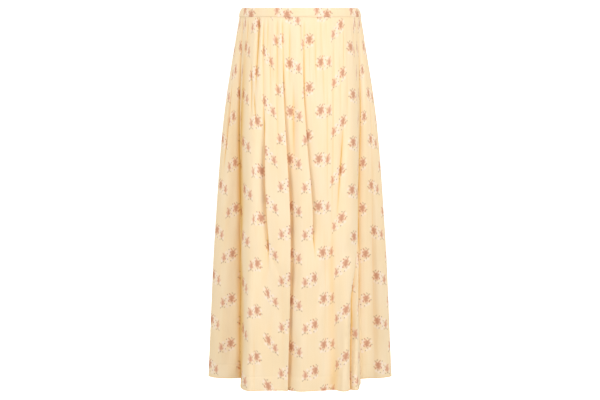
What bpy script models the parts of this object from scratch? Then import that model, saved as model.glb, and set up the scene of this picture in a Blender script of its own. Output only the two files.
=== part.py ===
"""Pleated midi skirt, filled out as it is worn: a narrow waistband over two long panels.

Metres, +Z up. The origin is the middle of the waist, halfway up the waistband, where the wearer
holds the skirt up. The front faces -Y. In names, left is -X and right is +X, which is how they
lie to somebody who faces the skirt.

The cloth is one smooth closed curve at each height. Ribs are lines that run from the waist to the
hem, and the curve passes through all of them; folds are then pressed into it. A cloth coordinate
counts metres along the hem, from the middle of the front, so that a thread keeps its number from
the waist to the hem.
"""

from collections import namedtuple
from math import cos, degrees, pi, radians, sin

import bpy
import numpy as np

# Driving dimensions
WAIST_WIDTH = 0.253
WAIST_FRONT = 0.092
WAIST_BACK = 0.096
BAND_HEIGHT = 0.018
BAND_TAPER = 0.985  # the waistband's top edge against its lower edge
BAND_WALL = 0.0022
BAND_ROUNDING = 0.0008  # how far its edges round in
LENGTH = 0.787  # top of the waistband to the hem
WALL = 0.0016
SEAM_GAP = 0.0003

FRONT_COLUMNS, FRONT_ROWS = 92, 14
BACK_COLUMNS, BACK_ROWS = 70, 11
BAND_COLUMNS, BAND_ROWS = 30, 3
ROWS_CLOSER_UP = 1.15  # over 1, rows lie closer together near the waist
CROWDING = 2.5  # how much closer together columns lie at a fold
CROWD_REACH = 0.012

CREAM = (0.965, 0.75, 0.52)
COTTON_ROUGHNESS = 0.85

# Drops below the origin at which the ribs and folds are given
PANEL_TOP = BAND_HEIGHT / 2 + SEAM_GAP
HEM = LENGTH - BAND_HEIGHT / 2
HIP = 0.20
KNEE = 0.45
DROPS = np.array([PANEL_TOP, HIP, KNEE, HEM])

# The ribs of the front, from the left side seam to the right one. turn is the rib's place on the
# waist's ellipse, in degrees from the front; each x and y is its place lower down. The front hangs
# as a block between two notches, and a flat wing stands out at each side of it.
Rib = namedtuple("Rib", "name turn hip_x hip_y knee_x knee_y hem_x hem_y")
FRONT_RIBS = (
    Rib("left seam", -90, -0.1580, 0.006, -0.1800, 0.010, -0.1975, 0.012),
    Rib("left wing", -79, -0.1470, -0.016, -0.1610, -0.012, -0.1730, -0.009),
    Rib("left notch", -70, -0.1275, -0.025, -0.1255, -0.019, -0.1265, -0.016),
    Rib("left block side", -58, -0.1205, -0.060, -0.1215, -0.074, -0.1245, -0.084),
    Rib("left block corner", -45, -0.1020, -0.093, -0.1055, -0.109, -0.1080, -0.124),
    Rib("left quarter", -25, -0.0570, -0.109, -0.0580, -0.119, -0.0580, -0.121),
    Rib("front middle", 0, 0.0000, -0.113, 0.0000, -0.126, 0.0000, -0.131),
    Rib("right quarter", 25, 0.0570, -0.109, 0.0590, -0.120, 0.0590, -0.121),
    Rib("right block corner", 45, 0.1000, -0.094, 0.1030, -0.111, 0.1020, -0.131),
    Rib("right block edge", 55, 0.1160, -0.071, 0.1160, -0.088, 0.1190, -0.118),
    Rib("right block side", 63, 0.1215, -0.047, 0.1215, -0.052, 0.1270, -0.066),
    Rib("right notch", 71, 0.1270, -0.026, 0.1250, -0.021, 0.1310, -0.017),
    Rib("right wing", 80, 0.1470, -0.016, 0.1610, -0.012, 0.1730, -0.009),
    Rib("right seam", 90, 0.1580, 0.006, 0.1800, 0.010, 0.1975, 0.012),
)
# The right half of the back, from the wing to the middle; the left half mirrors it.
BACK_RIBS = (
    Rib("back of wing", 101, 0.148, 0.032, 0.163, 0.037, 0.178, 0.040),
    Rib("back notch", 113, 0.133, 0.053, 0.137, 0.057, 0.143, 0.061),
    Rib("back corner", 135, 0.107, 0.098, 0.117, 0.111, 0.123, 0.118),
    Rib("back quarter", 157, 0.054, 0.119, 0.059, 0.132, 0.062, 0.138),
    Rib("back middle", 180, 0.000, 0.122, 0.000, 0.134, 0.000, 0.140),
)

# The front's folds, from -X to +X: where each lies (x at the waist, hip, knee and hem), the drops at
# which it starts, is deepest and ends, its depth, how far its two sides reach along the cloth, and
# how crisp its bottom is, from 0 (round) to 1 (creased). A short side hangs over like a lap. before
# is the side that a cloth coordinate meets first.
Fold = namedtuple("Fold", "name waist hip knee hem starts deepest ends depth before after crisp")
FRONT_FOLDS = (
    Fold("left wing crease", -0.1235, -0.1340, -0.1300, -0.1300, 0.05, 0.20, 0.34, 0.007, 0.008, 0.016, 0.7),
    Fold("left tuck", -0.0960, -0.0993, -0.0993, -0.1000, 0.10, 0.17, 0.22, 0.003, 0.010, 0.006, 0.7),
    Fold("left pleat", -0.0822, -0.0883, -0.0888, -0.0918, -0.02, 0.035, 0.30, 0.005, 0.012, 0.009, 0.6),
    Fold("left fold", -0.0700, -0.0696, -0.0619, -0.0500, 0.17, 0.38, 0.52, 0.009, 0.020, 0.006, 0.8),
    Fold("centre fold", -0.0325, -0.0254, -0.0127, -0.0202, -0.05, 0.45, 1.60, 0.013, 0.006, 0.026, 0.8),
    Fold("centre tuck", -0.0095, -0.0083, 0.0050, 0.0050, 0.00, 0.27, 0.40, 0.005, 0.012, 0.010, 0.5),
    Fold("centre pleat", 0.0071, 0.0122, 0.0329, 0.0400, -0.02, 0.41, 0.62, 0.008, 0.007, 0.018, 0.8),
    Fold("right gather", 0.0449, 0.0449, 0.0449, 0.0490, -0.02, 0.06, 0.26, 0.003, 0.010, 0.012, 0.3),
    Fold("right crease", 0.0850, 0.0903, 0.0745, 0.0670, 0.22, 0.33, 0.44, 0.003, 0.010, 0.014, 0.3),
    Fold("right fold", 0.1100, 0.1130, 0.1170, 0.1027, 0.36, 0.68, 1.60, 0.011, 0.022, 0.008, 0.7),
    Fold("right wing hollow", 0.1240, 0.1480, 0.1565, 0.1710, 0.08, 0.24, 1.20, 0.005, 0.018, 0.016, 0.3),
)
# The back's folds, from +X to -X, which is the way that the cloth coordinate runs there.
BACK_FOLDS = (
    Fold("back right fold", 0.064, 0.070, 0.080, 0.085, 0.00, 0.48, 1.50, 0.013, 0.030, 0.012, 0.5),
    Fold("back right pleat", 0.022, 0.026, 0.032, 0.036, -0.02, 0.30, 0.60, 0.008, 0.010, 0.018, 0.6),
    Fold("back centre fold", -0.012, -0.020, -0.030, -0.028, -0.05, 0.50, 1.60, 0.013, 0.010, 0.030, 0.6),
    Fold("back left fold", -0.075, -0.078, -0.088, -0.086, 0.00, 0.42, 1.50, 0.013, 0.030, 0.012, 0.5),
)

# Gathers stand out all round just below the waistband and die out down the panels.
GATHER_SPACING = 0.032
GATHER_HEIGHT = 0.003
GATHER_FULL = 0.030  # the drop at which they are highest
GATHER_END = 0.20

# Folds and gathers are pressed nearly flat where they are sewn into the waistband.
SEWN_SHARE = 0.15
FREE_BELOW = 0.030


def clear_scene():
    for thing in list(bpy.data.objects):
        bpy.data.objects.remove(thing, do_unlink=True)


# The skirt's form


def on_waist(turn, share=1.0, out=0.0):
    """A point on the waist's ellipse, turn degrees from the front towards +X, and out metres off it."""
    angle = radians(turn)
    deep = WAIST_FRONT if abs(turn) <= 90 else WAIST_BACK
    return (share * WAIST_WIDTH / 2 + out) * sin(angle), -(share * deep + out) * cos(angle)


def rib_table():
    """Every rib round the skirt, from the left side seam through the front: (drop, rib, x and y)."""
    around = [rib_line(rib, 1) for rib in FRONT_RIBS + BACK_RIBS]
    around += [rib_line(rib, -1) for rib in BACK_RIBS[-2::-1]]
    return np.array(around).transpose(1, 0, 2)


def rib_line(rib, side):
    """A rib's points at the four drops, mirrored to the left where side is -1."""
    points = [on_waist(rib.turn), (rib.hip_x, rib.hip_y), (rib.knee_x, rib.knee_y), (rib.hem_x, rib.hem_y)]
    return [(side * x, y) for x, y in points]


def through(values, drop):
    """The smooth curve through values, which are given at DROPS, read at this drop."""
    slopes = np.gradient(values, DROPS, axis=0)
    low = int(np.clip(np.searchsorted(DROPS, drop) - 1, 0, len(DROPS) - 2))
    span = DROPS[low + 1] - DROPS[low]
    return hermite(
        values[low], values[low + 1], slopes[low] * span, slopes[low + 1] * span, (drop - DROPS[low]) / span
    )


def hermite(start, end, start_slope, end_slope, share):
    rise = share * share * (3 - 2 * share)
    return (
        start + (end - start) * rise
        + start_slope * share * (1 - share) ** 2
        - end_slope * share * share * (1 - share)
    )


def section(ribs, place):
    """Points on the smooth closed curve through the ribs of one height, at rib numbers with fractions."""
    ahead = np.roll(ribs, -1, axis=0) - ribs
    knot = np.linalg.norm(ahead, axis=1, keepdims=True) ** 0.5
    rise = ahead / knot
    knot_before = np.roll(knot, 1, axis=0)
    slope = (rise * knot_before + np.roll(rise, 1, axis=0) * knot) / (knot + knot_before)
    whole = np.floor(place)
    low = whole.astype(int) % len(ribs)
    high = (low + 1) % len(ribs)
    return hermite(
        ribs[low], ribs[high], slope[low] * knot[low], slope[high] * knot[low], (place - whole)[:, None]
    )


class Cloth:
    """The skirt's surface: points for any cloth coordinate and drop."""

    SAMPLES = 1600
    NUDGE = 0.02  # in ribs, for the direction along the section

    def __init__(self):
        self.ribs = rib_table()
        self.places = np.linspace(0, self.ribs.shape[1], self.SAMPLES + 1)
        hem = section(self.ribs[-1], self.places)
        steps = np.linalg.norm(np.diff(hem, axis=0), axis=1)
        lengths = np.concatenate([[0], np.cumsum(steps)])
        self.front_half = np.interp(len(FRONT_RIBS) - 1, self.places, lengths) / 2
        self.round = lengths[-1]
        self.lengths = lengths - self.front_half
        self.in_front = self.lengths <= self.front_half

    def lines_at(self, drop):
        """The cloth coordinates that each fold's bottom has at this drop, front and back."""
        line = section(through(self.ribs, drop), self.places)
        front, back = self.in_front, ~self.in_front
        on_front = np.interp(xs_of(FRONT_FOLDS, drop), line[front, 0], self.lengths[front])
        on_back = np.interp(-xs_of(BACK_FOLDS, drop), -line[back, 0], self.lengths[back])
        return on_front, on_back

    def row(self, across, drop):
        """Points along one height. Folds grow shallower where the cloth is drawn in towards the waist."""
        ribs = through(self.ribs, drop)
        wrapped = (across - self.lengths[0]) % self.round + self.lengths[0]
        place = np.interp(wrapped, self.lengths, self.places)
        tangent = section(ribs, place + self.NUDGE) - section(ribs, place - self.NUDGE)
        at_hem = section(self.ribs[-1], place + self.NUDGE) - section(self.ribs[-1], place - self.NUDGE)
        length = np.linalg.norm(tangent, axis=1)
        drawn_in = np.minimum(length / np.linalg.norm(at_hem, axis=1), 1)
        tangent /= length[:, None]
        outward = np.stack([tangent[:, 1], -tangent[:, 0]], axis=1)
        raised = gathers(across, drop)
        for fold, bottom in zip(FRONT_FOLDS + BACK_FOLDS, np.concatenate(self.lines_at(drop))):
            away = (across - bottom + self.round / 2) % self.round - self.round / 2
            depth = fold.depth * swell(drop, fold.starts, fold.deepest, fold.ends)
            raised = raised - depth * valley(away, fold)
        free = SEWN_SHARE + (1 - SEWN_SHARE) * swell(min(drop, FREE_BELOW), PANEL_TOP, FREE_BELOW, HEM)
        flat = section(ribs, place) + outward * (free * drawn_in * raised)[:, None]
        return np.column_stack([flat, np.full(len(flat), -drop)])


def xs_of(folds, drop):
    """Where the folds lie at this drop."""
    given = np.array([(fold.waist, fold.hip, fold.knee, fold.hem) for fold in folds])
    return through(given.T, drop)


def swell(drop, starts, deepest, ends):
    """0 at starts and ends, 1 at deepest, smooth between."""
    near = starts if drop < deepest else ends
    share = np.clip((drop - near) / (deepest - near), 0, 1)
    return share * share * (3 - 2 * share)


def valley(away, fold):
    """A fold's depth, 1 in the middle and 0 at its two edges, for distances from its middle."""
    reach = np.clip(np.abs(away) / np.where(away < 0, fold.before, fold.after), 0, 1)
    rounded = (1 - reach) ** 2 * (1 + 2 * reach)
    creased = (1 - reach) ** 2
    return rounded + (creased - rounded) * fold.crisp


def gathers(across, drop):
    height = GATHER_HEIGHT * swell(drop, -GATHER_FULL, GATHER_FULL, GATHER_END)
    phase = 2 * pi * across / GATHER_SPACING
    return height * (0.5 + 0.5 * np.sin(phase + 1.1 * np.sin(0.37 * phase)))


# Solids


def grid_normals(grid):
    along = np.gradient(grid, axis=1)
    down = np.gradient(grid, axis=0)
    normals = np.cross(down, along)
    return normals / np.linalg.norm(normals, axis=2, keepdims=True)


def wall_mesh(name, outer, inner, base_color):
    """A closed wall between two grids of points, with rims along its four edges."""
    rows, columns = outer.shape[:2]
    points = np.concatenate([outer.reshape(-1, 3), inner.reshape(-1, 3)])
    number = np.arange(rows * columns).reshape(rows, columns)
    behind = number + rows * columns
    faces = quads(number) + quads(behind[:, ::-1])
    edge = np.concatenate([number[0], number[1:, -1], number[-1, -2::-1], number[-2:0:-1, 0]])
    after = np.roll(edge, -1)
    for start, end in zip(edge, after):
        faces.append((start, end, end + rows * columns, start + rows * columns))
    mesh = bpy.data.meshes.new(name)
    mesh.from_pydata(points.tolist(), [], [tuple(map(int, face)) for face in faces])
    mesh.validate()
    mesh.materials.append(cotton(name + " cotton", base_color))
    mesh.shade_smooth()
    mesh.set_sharp_from_angle(angle=radians(50))
    piece = bpy.data.objects.new(name, mesh)
    bpy.context.scene.collection.objects.link(piece)
    return piece


def quads(number):
    """The faces of a grid of point numbers whose rows run down and whose columns run to the right."""
    corners = zip(number[:-1, :-1].flat, number[1:, :-1].flat, number[1:, 1:].flat, number[:-1, 1:].flat)
    return [tuple(face) for face in corners]


def cotton(name, base_color):
    material = bpy.data.materials.new(name)
    material.use_nodes = True
    shader = material.node_tree.nodes["Principled BSDF"]
    shader.inputs["Base Color"].default_value = (*base_color, 1)
    shader.inputs["Roughness"].default_value = COTTON_ROUGHNESS
    shader.inputs["Metallic"].default_value = 0.0
    return material


def spread(start, end, lines, count):
    """Cloth coordinates from start to end, closer together round the lines."""
    fine = np.linspace(start, end, 2000)
    density = np.ones_like(fine)
    for line in lines:
        density += CROWDING * np.exp(-(((fine - line) / CROWD_REACH) ** 2))
    total = np.concatenate([[0], np.cumsum((density[1:] + density[:-1]) / 2)])
    return np.interp(np.linspace(0, total[-1], count + 1), total, fine)


def panel(name, cloth, start, end, side, columns, rows):
    """One panel, between the cloth coordinates of its two side seams. Its columns follow its folds."""
    share = np.linspace(0, 1, rows + 1)
    drops = PANEL_TOP + (HEM - PANEL_TOP) * share**ROWS_CLOSER_UP
    start += SEAM_GAP / 2
    end -= SEAM_GAP / 2
    at_knee = cloth.lines_at(KNEE)[side]
    across = spread(start, end, at_knee, columns)
    across = np.concatenate([[2 * start - across[1]], across, [2 * end - across[-2]]])
    knots = np.concatenate([[across[0], start], at_knee, [end, across[-1]]])
    grid = []
    for drop in drops:
        moved = np.concatenate([[across[0], start], cloth.lines_at(drop)[side], [end, across[-1]]])
        grid.append(cloth.row(np.interp(across, knots, moved), drop))
    grid = np.array(grid)
    outer = grid[:, 1:-1]
    inner = outer - WALL * grid_normals(grid)[:, 1:-1]
    inner[0, :, 2] = outer[0, :, 2]
    inner[-1, :, 2] = outer[-1, :, 2]
    return wall_mesh(name, outer, inner, CREAM)


def waistband(name, start, end):
    """Half of the waistband, between two turns round the waist in degrees."""
    edge = degrees(SEAM_GAP / WAIST_WIDTH)
    turns = np.linspace(start + edge, end - edge, BAND_COLUMNS + 1)
    outer, inner = [], []
    for share in np.linspace(1, 0, BAND_ROWS + 1):
        height = BAND_HEIGHT * (share - 0.5)
        taper = 1 - (1 - BAND_TAPER) * share
        rounding = BAND_ROUNDING if share in (0, 1) else 0
        outer.append([(*on_waist(bound(turn), taper, -rounding), height) for turn in turns])
        inner.append([(*on_waist(bound(turn), taper, rounding - BAND_WALL), height) for turn in turns])
    return wall_mesh(name, np.array(outer), np.array(inner), CREAM)


def bound(turn):
    """The same turn, between -180 and 180."""
    return (turn + 180) % 360 - 180


def main():
    clear_scene()
    cloth = Cloth()
    half = cloth.front_half
    panel("front_panel", cloth, -half, half, 0, FRONT_COLUMNS, FRONT_ROWS)
    panel("back_panel", cloth, half, cloth.round - half, 1, BACK_COLUMNS, BACK_ROWS)
    waistband("waistband_front", -90, 90)
    waistband("waistband_back", 90, 270)


main()
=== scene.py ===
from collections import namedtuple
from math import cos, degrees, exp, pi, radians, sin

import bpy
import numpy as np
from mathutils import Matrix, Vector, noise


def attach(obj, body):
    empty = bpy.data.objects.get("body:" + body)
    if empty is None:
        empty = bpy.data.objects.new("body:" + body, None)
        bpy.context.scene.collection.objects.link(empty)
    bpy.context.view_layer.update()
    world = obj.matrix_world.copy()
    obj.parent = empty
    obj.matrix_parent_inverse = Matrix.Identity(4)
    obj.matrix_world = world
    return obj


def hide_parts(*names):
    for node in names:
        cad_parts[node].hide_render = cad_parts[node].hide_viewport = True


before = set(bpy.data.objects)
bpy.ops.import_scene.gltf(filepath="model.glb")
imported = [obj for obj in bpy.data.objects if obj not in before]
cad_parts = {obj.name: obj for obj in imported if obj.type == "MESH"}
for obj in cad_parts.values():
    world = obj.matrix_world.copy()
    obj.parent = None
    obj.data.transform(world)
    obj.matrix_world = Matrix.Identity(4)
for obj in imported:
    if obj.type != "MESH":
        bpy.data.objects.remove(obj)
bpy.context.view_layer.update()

# Pleated midi skirt in printed cotton, filled out as it is worn.
#
# Metres, +Z up, the front faces -Y. Left is -X and right is +X. The skirt's form is a smooth closed
# curve at each height, through ribs that run from the waist to the hem. Folds are pressed into it,
# and a lap turns a fold's lip over its bottom. A cloth coordinate counts metres along the hem from
# the middle of the front. The print and the weave follow the flat cloth, with what the folds take up.

# Sizes of the skirt
WAIST_WIDTH = 0.253
WAIST_FRONT = 0.092
WAIST_BACK = 0.096
BAND_HEIGHT = 0.018
BAND_TAPER = 0.985
LENGTH = 0.787
SEAM_GAP = 0.0003
CLOTH_THICKNESS = 0.0005
HEM_DEPTH = 0.030
HEM_EXTRA = 0.0005  # what the turned-up hem adds to the cloth's thickness
HEM_ROWS = (0.0006, 0.0014, 0.0026, 0.0270, 0.0285, 0.0292, 0.0300, 0.0308, 0.0315, 0.0330)
HEM_PINCH = 0.0003  # how deep the hem's stitches pull the cloth in
HEM_PINCH_REACH = 0.0012
HEM_EDGE = 0.0030  # the lowest strip of the hem, which is shaded
HEM_EDGE_SHADE = 0.5

# Mesh density
FRONT_COLUMNS, FRONT_ROWS = 326, 140
BACK_COLUMNS, BACK_ROWS = 290, 130
BAND_COLUMNS = 200
ROWS_LEAN = 1.05  # above 1, rows lie closer together near the waist
CROWDING = 2.2  # how much closer together columns lie at a fold
CROWD_REACH = 0.010
CROWD_STEPS = 4000
SHARP_ANGLE = 60  # degrees

# Drops below the origin at which ribs and folds are given
TUCKED_UNDER = 0.003  # how far the panels reach up behind the waistband's lower edge
PANEL_TOP = BAND_HEIGHT / 2 + SEAM_GAP
HEM = LENGTH - BAND_HEIGHT / 2
HIP = 0.20
KNEE = 0.45
DROPS = np.array([PANEL_TOP, HIP, KNEE, HEM])

Rib = namedtuple("Rib", "name turn hip_x hip_y knee_x knee_y hem_x hem_y")
FRONT_RIBS = (
    Rib("left seam", -90, -0.1580, 0.006, -0.1800, 0.010, -0.1975, 0.012),
    Rib("left wing", -79, -0.1470, -0.016, -0.1610, -0.012, -0.1730, -0.009),
    Rib("left notch", -70, -0.1275, -0.025, -0.1255, -0.019, -0.1265, -0.016),
    Rib("left block side", -58, -0.1205, -0.060, -0.1215, -0.074, -0.1245, -0.084),
    Rib("left block corner", -45, -0.1020, -0.093, -0.1055, -0.109, -0.1080, -0.124),
    Rib("left quarter", -25, -0.0570, -0.109, -0.0580, -0.119, -0.0580, -0.121),
    Rib("front middle", 0, 0.0000, -0.113, 0.0000, -0.126, 0.0000, -0.131),
    Rib("right quarter", 25, 0.0570, -0.109, 0.0590, -0.120, 0.0590, -0.121),
    Rib("right block corner", 45, 0.1000, -0.094, 0.1030, -0.111, 0.1020, -0.131),
    Rib("right block edge", 55, 0.1160, -0.071, 0.1160, -0.088, 0.1190, -0.118),
    Rib("right block side", 63, 0.1215, -0.047, 0.1215, -0.052, 0.1270, -0.066),
    Rib("right notch", 71, 0.1270, -0.026, 0.1250, -0.021, 0.1310, -0.017),
    Rib("right wing", 80, 0.1470, -0.016, 0.1610, -0.012, 0.1730, -0.009),
    Rib("right seam", 90, 0.1580, 0.006, 0.1800, 0.010, 0.1975, 0.012),
)
BACK_RIBS = (
    Rib("back of wing", 101, 0.148, 0.032, 0.163, 0.037, 0.178, 0.040),
    Rib("back notch", 113, 0.133, 0.053, 0.137, 0.057, 0.143, 0.061),
    Rib("back corner", 135, 0.107, 0.098, 0.117, 0.111, 0.123, 0.118),
    Rib("back quarter", 157, 0.054, 0.119, 0.059, 0.132, 0.062, 0.138),
    Rib("back middle", 180, 0.000, 0.122, 0.000, 0.134, 0.000, 0.140),
)

# Folds. First line: x at the waist, hip, knee and hem. Second line: the drops at which a fold starts,
# is deepest and ends; its depth; the reach of the side that a cloth coordinate meets before its bottom
# and of the one after; how crisp its bottom is; how far a lip laps over it, positive from the side
# before; and how much cloth it takes up.
Fold = namedtuple("Fold", "name waist hip knee hem starts deepest ends depth before after crisp lap takes")
FRONT_FOLDS = (
    Fold("left wing crease", -0.1235, -0.1485, -0.1700, -0.1750,
         0.12, 0.22, 0.36, 0.008, 0.007, 0.009, 0.8, 0, 0.004),
    Fold("left notch", -0.1189, -0.1275, -0.1255, -0.1265,
         -0.10, 0.16, 1.90, 0.011, 0.014, 0.011, 0.9, 0, 0),
    Fold("left tuck", -0.1010, -0.1000, -0.0960, -0.0960,
         0.08, 0.15, 0.24, 0.004, 0.010, 0.006, 0.7, 0, 0.003),
    Fold("left pleat", -0.0835, -0.0930, -0.0930, -0.0940,
         -0.02, 0.022, 0.26, 0.0045, 0.007, 0.009, 0.7, 0, 0.006),
    Fold("left fold", -0.0740, -0.0745, -0.0680, -0.0560,
         0.16, 0.36, 0.54, 0.013, 0.024, 0.006, 0.6, -0.0070, 0.008),
    Fold("centre fold", -0.0345, -0.0300, -0.0207, -0.0255,
         -0.04, 0.42, 1.60, 0.0120, 0.006, 0.030, 0.6, 0.0090, 0.016),
    Fold("centre tuck", -0.0130, -0.0130, -0.0110, -0.0100,
         0.11, 0.22, 0.36, 0.0050, 0.012, 0.012, 0.2, 0, 0.003),
    Fold("centre pleat", 0.0071, 0.0125, 0.0300, 0.0390,
         -0.04, 0.38, 0.53, 0.0080, 0.007, 0.020, 0.7, 0.0070, 0.008),
    Fold("right gather", 0.0449, 0.0500, 0.0535, 0.0540,
         -0.02, 0.12, 0.30, 0.003, 0.010, 0.012, 0.3, 0, 0.003),
    Fold("right pleat", 0.0620, 0.0640, 0.0670, 0.0680,
         0.15, 0.75, 1.60, 0.0070, 0.018, 0.026, 0.0, 0, 0.003),
    Fold("right crease", 0.0850, 0.0903, 0.0745, 0.0730,
         0.16, 0.31, 0.46, 0.006, 0.010, 0.014, 0.4, 0, 0.004),
    Fold("right fold", 0.1150, 0.1180, 0.1205, 0.1115,
         0.30, 0.70, 1.60, 0.016, 0.028, 0.015, 0.3, -0.0040, 0.010),
    Fold("right notch", 0.1196, 0.1268, 0.1248, 0.1306,
         0.02, 0.30, 1.60, 0.006, 0.016, 0.006, 0.6, 0, 0),
    Fold("right wing hollow", 0.1300, 0.1480, 0.1530, 0.1590,
         0.08, 0.26, 1.20, 0.0026, 0.014, 0.011, 0.3, 0, 0.002),
)
BACK_FOLDS = (
    Fold("back right fold", 0.064, 0.070, 0.080, 0.085,
         0.00, 0.48, 1.50, 0.013, 0.030, 0.012, 0.5, -0.003, 0.020),
    Fold("back right pleat", 0.022, 0.026, 0.032, 0.036,
         -0.02, 0.30, 0.60, 0.008, 0.010, 0.018, 0.6, 0.003, 0.016),
    Fold("back centre fold", -0.012, -0.020, -0.030, -0.028,
         -0.05, 0.50, 1.60, 0.013, 0.010, 0.030, 0.6, 0.003, 0.026),
    Fold("back left fold", -0.075, -0.078, -0.088, -0.086,
         0.00, 0.42, 1.50, 0.013, 0.030, 0.012, 0.5, -0.003, 0.020),
)

# Creases are shallow: x at the waist and at the hem, the drops at which one starts, is deepest and
# ends, its depth and its reach to each side.
Crease = namedtuple("Crease", "waist hem starts deepest ends depth reach")
FRONT_CREASES = (
    Crease(-0.1075, -0.1140, -0.02, 0.030, 0.09, 0.0030, 0.0060),
    Crease(-0.0750, -0.0740, 0.00, 0.080, 0.36, 0.0016, 0.0070),
    Crease(-0.0610, -0.0600, 0.00, 0.110, 0.30, 0.0014, 0.0060),
    Crease(-0.0470, -0.0440, 0.00, 0.140, 0.42, 0.0018, 0.0080),
    Crease(-0.0205, -0.0300, 0.01, 0.060, 0.22, 0.0016, 0.0060),
    Crease(0.0190, 0.0200, 0.00, 0.060, 0.24, 0.0015, 0.0070),
    Crease(0.0320, 0.0300, 0.01, 0.090, 0.30, 0.0014, 0.0060),
    Crease(0.0560, 0.0560, 0.02, 0.200, 0.60, 0.0012, 0.0060),
    Crease(0.0690, 0.0640, 0.00, 0.120, 0.55, 0.0016, 0.0070),
    Crease(0.0800, 0.0900, 0.00, 0.150, 0.34, 0.0012, 0.0060),
    Crease(0.0955, 0.1050, 0.02, 0.180, 0.45, 0.0014, 0.0070),
    Crease(0.0480, 0.0540, 0.30, 0.520, 0.90, 0.0014, 0.0070),
    Crease(-0.0960, -0.0950, 0.55, 0.760, 1.10, 0.0018, 0.0110),
    Crease(-0.0350, -0.0350, 0.40, 0.700, 1.50, 0.0026, 0.0200),
    Crease(-0.2620, 0.0600, 0.44, 0.500, 0.60, 0.0013, 0.0120),
    Crease(-0.1086, -0.0427, 0.11, 0.170, 0.27, 0.0022, 0.0040),
    Crease(0.1100, 0.1130, -0.02, 0.045, 0.14, 0.0024, 0.0050),
    Crease(-0.0660, -0.0720, -0.02, 0.030, 0.16, 0.0016, 0.0035),
    Crease(-0.0540, -0.0600, 0.03, 0.120, 0.25, 0.0014, 0.0030),
    Crease(0.0260, 0.0300, 0.06, 0.150, 0.27, 0.0014, 0.0030),
    Crease(0.0890, 0.0960, 0.00, 0.070, 0.17, 0.0015, 0.0035),
    Crease(0.0020, -0.0060, -0.02, 0.030, 0.13, 0.0016, 0.0035),
)
BACK_CREASES = (
    Crease(0.1050, 0.1150, -0.02, 0.040, 0.20, 0.0024, 0.0070),
    Crease(0.0850, 0.0950, 0.00, 0.090, 0.34, 0.0018, 0.0080),
    Crease(0.0440, 0.0520, -0.02, 0.060, 0.30, 0.0020, 0.0070),
    Crease(0.0040, 0.0020, -0.02, 0.080, 0.40, 0.0020, 0.0080),
    Crease(-0.0330, -0.0480, 0.00, 0.120, 0.44, 0.0020, 0.0080),
    Crease(-0.0540, -0.0640, -0.02, 0.050, 0.26, 0.0018, 0.0060),
    Crease(-0.0960, -0.1060, 0.00, 0.110, 0.38, 0.0022, 0.0080),
)

# Shades: a rib and how far aside of it; how strongly the cloth lies in a deep fold's shade there, or
# below 0 in light; the drops at which that starts, is full and ends; and its reach to each side.
Shade = namedtuple("Shade", "rib aside strength starts full ends before after")
SHADES = (
    Shade("left wing", 0.010, -0.55, 0.20, 0.55, 3.00, 0.030, 0.024),
    Shade("left notch", 0.000, 0.15, 0.02, 0.28, 3.00, 0.030, 0.010),
    Shade("left notch", 0.001, 0.95, 0.00, 0.20, 3.00, 0.013, 0.008),
    Shade("left block side", 0.000, 0.92, -0.02, 0.26, 3.00, 0.034, 0.034),
    Shade("front middle", -0.020, 0.12, 0.16, 0.34, 3.00, 0.010, 0.018),
    Shade("right block side", 0.002, 0.58, 0.12, 0.36, 1.10, 0.034, 0.040),
    Shade("right notch", 0.000, -0.90, 0.56, 0.68, 3.00, 0.022, 0.022),
    Shade("right wing", -0.028, -1.00, 0.00, 0.15, 3.00, 0.011, 0.022),
)

CREASE_CRISP = 0.4
SHADE_CRISP = 0.5
LAP_REACH = 1.3  # in widths of the side that is lapped over
LAP_TURNS = 0.405  # where along a lap the cloth turns back, and how far it has been pushed there
LAP_MOST = 0.799

# Gathers below the waistband and rumples further down
GATHER_SPACING = 0.0165
GATHER_HEIGHT = 0.0018
GATHER_FULL = 0.022  # the drop at which gathers are highest
GATHER_END = 0.19
GATHER_VARIES = 0.4  # the share of its height that comes and goes from gather to gather
GATHER_WANDERS = 1.3  # how far gathers stray from even spacing, in radians
SLOW_WAVE, SLOWER_WAVE = 0.37, 0.31  # how often they stray and vary, in times a gather
GATHER_START = 0.7  # where in its variation the middle of the front lies, in radians
RUMPLE_HEIGHT = 0.0035
RUMPLE_SIZE = (0.030, 0.075)
RUMPLE_LEAN = 1.1
RUMPLES_FROM, RUMPLES_FULL = 0.15, 0.50
RUMPLES_END = 3 * LENGTH  # below the hem, so that they last down to it
SEAM_PLAIN = 0.025  # no gathers or rumples this near a side seam
SEWN_SHARE = 0.2  # how free the cloth is right at the waistband
FREE_BELOW = 0.030
GRAIN_LIFT = 0.033  # how much higher a thread that runs across lies at the sides than in the middle
GRAIN_LEVEL, GRAIN_LIFTED = 0.030, 0.110  # the cloth coordinates between which it rises
TAKEN_WITHIN = 0.004  # the cloth that a fold takes up lies within this reach of its bottom

# The printed sprigs: two rows of them, one leaning the other way, half a repeat lower
REPEAT_ACROSS = 0.082
REPEAT_DOWN = 0.097
SECOND_ROW = 0.033  # how far across the second row lies
PRINT_START = (0.030, -0.012)  # a sprig's middle, across and up from the origin


# Materials


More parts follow.
